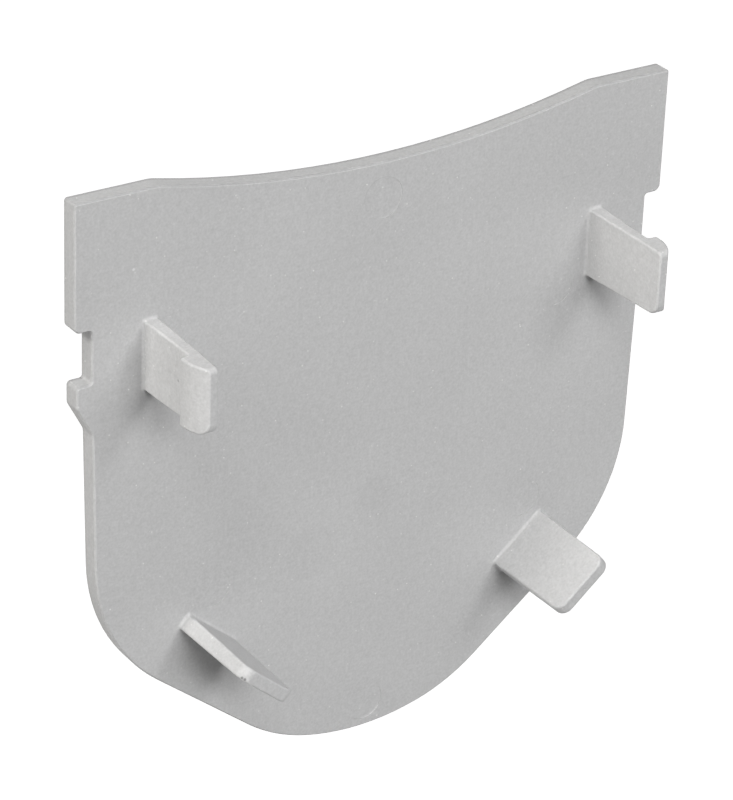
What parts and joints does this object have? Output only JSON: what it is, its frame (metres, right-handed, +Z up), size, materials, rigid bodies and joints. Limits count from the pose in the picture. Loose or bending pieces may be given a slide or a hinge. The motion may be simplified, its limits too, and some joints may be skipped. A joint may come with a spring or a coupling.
{
  "type": "drain end cap",
  "caption": "Flat moulded plastic end plate for a surface drain channel, with a dished top edge, hooked side notches, a round bottom and snap tabs on its inner face.",
  "frame": {"origin": "on the inner face, on the centre line, at half the plate's height", "axes": "+Z up to the dished top edge, +Y out of the channel, from the inner face through the plate, and +X to the right seen from inside the channel; the tabs point along -Y"},
  "size_m": [0.1, 0.0201, 0.098],
  "materials": {
    "grey_plastic": "fine moulded grain, satin"
  },
  "bodies": {
    "root": {"end_cap": "grey_plastic"}
  },
  "joints": []
}
